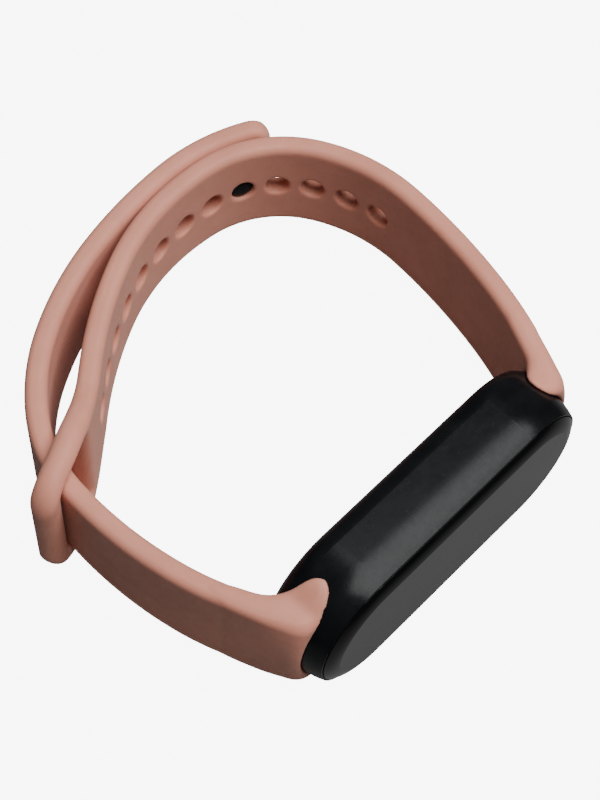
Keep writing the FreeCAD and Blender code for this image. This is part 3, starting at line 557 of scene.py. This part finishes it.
class Paint:
    """A node material built step by step."""

    def __init__(self, name):
        self.material = bpy.data.materials.new(name)
        self.material.use_nodes = True
        self.nodes = self.material.node_tree.nodes
        self.links = self.material.node_tree.links
        self.shader = self.nodes["Principled BSDF"]
        self.coordinates = self.nodes.new("ShaderNodeTexCoord").outputs["Object"]

    def set(self, **values):
        for name, value in values.items():
            self.shader.inputs[name.replace("_", " ")].default_value = value
        return self

    def noise(self, scale, detail, stretch=None):
        node = self.nodes.new("ShaderNodeTexNoise")
        node.inputs["Scale"].default_value = scale
        node.inputs["Detail"].default_value = detail
        node.inputs["Roughness"].default_value = 0.5
        source = self.coordinates
        if stretch:
            mapping = self.nodes.new("ShaderNodeMapping")
            mapping.inputs["Scale"].default_value = stretch
            self.links.new(source, mapping.inputs["Vector"])
            source = mapping.outputs["Vector"]
        self.links.new(source, node.inputs["Vector"])
        return node.outputs["Fac"]

    def ramp(self, value, low, high, start=0.35, end=0.65):
        """Maps a noise value to a colour between low and high."""
        node = self.nodes.new("ShaderNodeValToRGB")
        node.color_ramp.elements[0].position = start
        node.color_ramp.elements[1].position = end
        node.color_ramp.elements[0].color = (*low, 1)
        node.color_ramp.elements[1].color = (*high, 1)
        self.links.new(value, node.inputs["Fac"])
        return node.outputs["Color"]

    def spread(self, value, low, high):
        """Maps a noise value to a number between low and high."""
        node = self.nodes.new("ShaderNodeMapRange")
        node.inputs["From Min"].default_value = 0.3
        node.inputs["From Max"].default_value = 0.7
        node.inputs["To Min"].default_value = low
        node.inputs["To Max"].default_value = high
        self.links.new(value, node.inputs["Value"])
        return node.outputs["Result"]

    def colour(self, value):
        self.links.new(value, self.shader.inputs["Base Color"])
        return self

    def roughness(self, value):
        self.links.new(value, self.shader.inputs["Roughness"])
        return self

    def bump(self, *layers):
        """Layers are (height value, distance in metres), the coarsest first."""
        normal = None
        for height, distance in layers:
            node = self.nodes.new("ShaderNodeBump")
            node.inputs["Strength"].default_value = 1.0
            node.inputs["Distance"].default_value = distance
            self.links.new(height, node.inputs["Height"])
            if normal:
                self.links.new(normal, node.inputs["Normal"])
            normal = node.outputs["Normal"]
        self.links.new(normal, self.shader.inputs["Normal"])
        return self


def silicone():
    paint = Paint("silicone")
    paint.colour(paint.ramp(paint.noise(140, 4), (0.575, 0.236, 0.166), (0.635, 0.264, 0.188)))
    paint.roughness(paint.spread(paint.noise(900, 3), 0.50, 0.62))
    paint.bump((paint.noise(260, 2), 0.00003), (paint.noise(4200, 3), 0.000012))
    paint.set(Specular_IOR_Level=0.25, Subsurface_Weight=0.3, Subsurface_Scale=0.0012,
              Sheen_Weight=0.05, Sheen_Roughness=0.6)
    paint.shader.inputs["Subsurface Radius"].default_value = (1.0, 0.35, 0.22)
    return paint.material


def housing_plastic():
    paint = Paint("housing_plastic")
    paint.colour(paint.ramp(paint.noise(300, 4), (0.0035, 0.0040, 0.0048), (0.0060, 0.0066, 0.0078)))
    paint.roughness(paint.spread(paint.noise(1400, 3), 0.21, 0.28))
    paint.bump((paint.noise(7000, 3), 0.000006))
    paint.set(Specular_IOR_Level=0.13)
    return paint.material


def cover_glass():
    paint = Paint("cover_glass")
    paint.colour(paint.ramp(paint.noise(60, 3), (0.002, 0.0022, 0.0022), (0.004, 0.0042, 0.004)))
    paint.roughness(paint.spread(paint.noise(700, 5), 0.05, 0.12))
    paint.bump((paint.noise(90, 2), 0.000008))
    paint.set(Specular_IOR_Level=0.22)
    return paint.material


def grey(value):
    return value, value, value


def moulded(name, low, high, rough=(0.45, 0.6), grain=3500, depth=0.00001, metallic=0.0,
            stretch=None, shine=0.5):
    """A surface with a mottled colour, uneven gloss and a fine grain."""
    paint = Paint(name)
    paint.colour(paint.ramp(paint.noise(500, 4, stretch=stretch), low, high))
    paint.roughness(paint.spread(paint.noise(1800, 3, stretch=stretch), *rough))
    paint.bump((paint.noise(grain, 3, stretch=stretch), depth))
    paint.set(Metallic=metallic, Specular_IOR_Level=shine)
    return paint.material


def board_mask():
    """Green solder mask with faint copper tracks under it."""
    paint = Paint("board_mask")
    tracks = paint.nodes.new("ShaderNodeTexBrick")
    tracks.inputs["Scale"].default_value = 900
    tracks.inputs["Mortar Size"].default_value = 0.06
    tracks.inputs["Color1"].default_value = (0.010, 0.085, 0.035, 1)
    tracks.inputs["Color2"].default_value = (0.012, 0.100, 0.040, 1)
    tracks.inputs["Mortar"].default_value = (0.030, 0.180, 0.060, 1)
    paint.links.new(paint.coordinates, tracks.inputs["Vector"])
    paint.colour(tracks.outputs["Color"])
    paint.roughness(paint.spread(paint.noise(1500, 3), 0.25, 0.4))
    paint.bump((paint.noise(2600, 3), 0.00001))
    return paint.material


silicone_paint = silicone()
stud_paint = moulded("stud_plastic", grey(0.002), grey(0.004), (0.3, 0.42), 5000, 0.000005, shine=0.12)
black_chip = moulded("chip_resin", (0.010, 0.010, 0.011), (0.022, 0.022, 0.023), (0.5, 0.65), 6000, 0.000008)
bright_steel = moulded("drawn_steel", (0.52, 0.52, 0.53), (0.66, 0.66, 0.67), (0.22, 0.36), 2500, 0.000004,
                       1.0, (1, 1, 14))
gold = moulded("plated_gold", (0.72, 0.50, 0.19), (0.84, 0.61, 0.26), (0.2, 0.32), 3000, 0.000003, 1.0)
green_board = board_mask()
CAD_PAINTS = {
    "body_housing": housing_plastic(),
    "front_glass": cover_glass(),
    "glass_adhesive": moulded("adhesive", grey(0.015), grey(0.03), (0.6, 0.8)),
    "touch_film": moulded("touch_film", (0.03, 0.035, 0.04), (0.05, 0.055, 0.06), (0.08, 0.16), 900,
                          0.000002),
    "display_panel": moulded("display_glass", (0.006, 0.006, 0.008), (0.012, 0.012, 0.016), (0.05, 0.12), 900,
                             0.000002),
    "display_flex": moulded("polyimide", (0.36, 0.15, 0.02), (0.50, 0.24, 0.04), (0.25, 0.4), 1200,
                            0.000006),
    "mid_frame": moulded("frame_plastic", (0.09, 0.09, 0.10), (0.14, 0.14, 0.15)),
    "battery": moulded("cell_foil", (0.50, 0.50, 0.52), (0.66, 0.66, 0.68), (0.28, 0.45), 1400, 0.00002,
                       1.0),
    "battery_cushion": moulded("foam", grey(0.03), grey(0.07), (0.8, 0.95), 2500, 0.00004),
    "main_board": green_board,
    "sensor_board": green_board,
    "processor_chip": black_chip,
    "memory_chip": black_chip,
    "shield_can": bright_steel,
    "board_connector": moulded("connector_resin", (0.36, 0.32, 0.24), (0.48, 0.43, 0.34)),
    "motor_case": bright_steel,
    "motor_plate": bright_steel,
    "motor_rotor": moulded("sintered_weight", (0.20, 0.20, 0.21), (0.30, 0.30, 0.31), (0.4, 0.6), 5200,
                           0.00001, 1.0),
    "sensor_leds": moulded("led_cap", (0.35, 0.60, 0.32), (0.50, 0.78, 0.45), (0.1, 0.2), 900, 0.000002),
    "photodiode": moulded("diode_glass", (0.012, 0.010, 0.018), (0.022, 0.018, 0.030), (0.06, 0.14), 900,
                          0.000002),
    "window_gasket": moulded("gasket_rubber", grey(0.012), grey(0.026), (0.7, 0.85)),
    "sensor_window": moulded("window_plastic", (0.006, 0.006, 0.008), (0.013, 0.013, 0.016), (0.08, 0.16),
                             1500, 0.000002),
    "charge_contacts": gold,
    "antenna_strip": gold,
    "strap_lug_right": moulded("lug_nylon", (0.05, 0.05, 0.055), (0.08, 0.08, 0.085)),
}
CAD_PAINTS["strap_lug_left"] = CAD_PAINTS["strap_lug_right"]
for node, paint in CAD_PAINTS.items():
    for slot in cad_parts[node].material_slots:
        slot.material = paint


# ---------------------------------------------------------------- pieces


def add_straps():
    cutter = tracker_cutter()
    holed = finish_piece(make_hole_strap(cutter), silicone_paint)
    holed.name = "hole_strap_skin"
    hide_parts("hole_strap")
    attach(holed, "strap_loop")
    band, tail = split_tail(make_stud_strap(cutter))
    remove(cutter)
    for piece, nodes, bodies, bend in (
            (band, ("stud_strap", "stud_strap_middle"), ("strap_loop", "tail_middle"), FAR_BEND),
            (tail, ("stud_strap_end",), ("tail_middle", "tail_end"), NEAR_BEND)):
        finish_piece(piece, silicone_paint)
        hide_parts(*nodes)
        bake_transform(piece)


def add_stud():
    depth = 3 * HALF_THICK + TAIL_GAP + HALF_THICK
    tip = depth - STUD_SHORT
    peg = stud_lathe("stud_peg", [(0, 1.0), (2.6, 1.0), (2.95, 1.15), (3.0, 1.4), (2.9, 1.7), (1.6, 1.9),
                                  (1.45, 2.3), (1.45, tip - 1.9), (1.5, tip - 1.5), (1.6, tip - 1.1),
                                  (1.62, tip - 0.7), (1.56, tip - 0.35), (1.38, tip - 0.12),
                                  (1.0, tip - 0.02), (0.5, tip + 0.02), (0, tip + 0.03)])
    finish_piece(peg, stud_paint)
    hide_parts("clasp_stud")
    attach(peg, "tail_end")
    cap = stud_lathe("stud_cap", [(0, -0.10), (1.2, -0.09), (2.2, -0.05), (2.35, 0.02), (2.5, -0.03),
                                  (3.0, 0.02), (3.25, 0.10), (3.36, 0.2), (3.3, 0.32), (3.0, 0.4),
                                  (1.0, 0.42), (0.8, 1.3), (0, 1.3)])
    finish_piece(cap, stud_paint)
    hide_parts("clasp_cap")
    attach(cap, "tail_end")


add_straps()
add_stud()


# ---------------------------------------------------------------- floor and light

def add_floor():
    """A pale glowing sheet: its glow lights nothing but itself, and its colour is a painted pool of light,
    pale only near the band and dark further out.
    """
    half_size, shrink = 1.5, 9
    bm = bmesh.new()
    bmesh.ops.create_grid(bm, x_segments=2, y_segments=2, size=half_size)
    floor = mesh_object("floor", bm)
    floor.location.z = CAD_BOX[0][2]
    paint = Paint("floor_paper")
    mapping = paint.nodes.new("ShaderNodeMapping")
    mapping.inputs["Scale"].default_value = (shrink, shrink, shrink)
    # Painted pool of light: the floor's colour is pale round the band and nearly black further out.
    painted_light_pool = paint.nodes.new("ShaderNodeTexGradient")
    painted_light_pool.gradient_type = "SPHERICAL"
    paint.links.new(paint.coordinates, mapping.inputs["Vector"])
    paint.links.new(mapping.outputs["Vector"], painted_light_pool.inputs["Vector"])
    paint.colour(paint.ramp(painted_light_pool.outputs["Fac"], grey(0.01), grey(0.21), 0.1, 0.5))
    paint.bump((paint.noise(800, 3), 0.00002))
    paint.set(Roughness=0.8, Specular_IOR_Level=0.1, Emission_Strength=8.0)
    paint.shader.inputs["Emission Color"].default_value = (1, 1, 1, 1)
    floor.data.materials.append(paint.material)
    own = bpy.data.collections.new("floor_only")
    own.objects.link(floor)
    floor.light_linking.receiver_collection = own


def add_softbox(name, place, size, power):
    """A rectangular light, aimed at the middle of the floor."""
    data = bpy.data.lights.new(name, "AREA")
    data.shape = "RECTANGLE"
    data.size, data.size_y = size
    data.energy = power
    light = bpy.data.objects.new(name, data)
    scene.collection.objects.link(light)
    light.location = place
    light.rotation_euler = (-Vector(place)).to_track_quat("-Z", "Y").to_euler()


def add_light():
    world = bpy.data.worlds.new("studio")
    world.use_nodes = True
    background = world.node_tree.nodes["Background"]
    background.inputs["Color"].default_value = (0.95, 0.97, 1.0, 1)
    background.inputs["Strength"].default_value = 0.07
    scene.world = world
    add_softbox("overhead", (0.11, -0.17, 0.60), (0.52, 0.5), 7.2)


add_floor()
add_light()
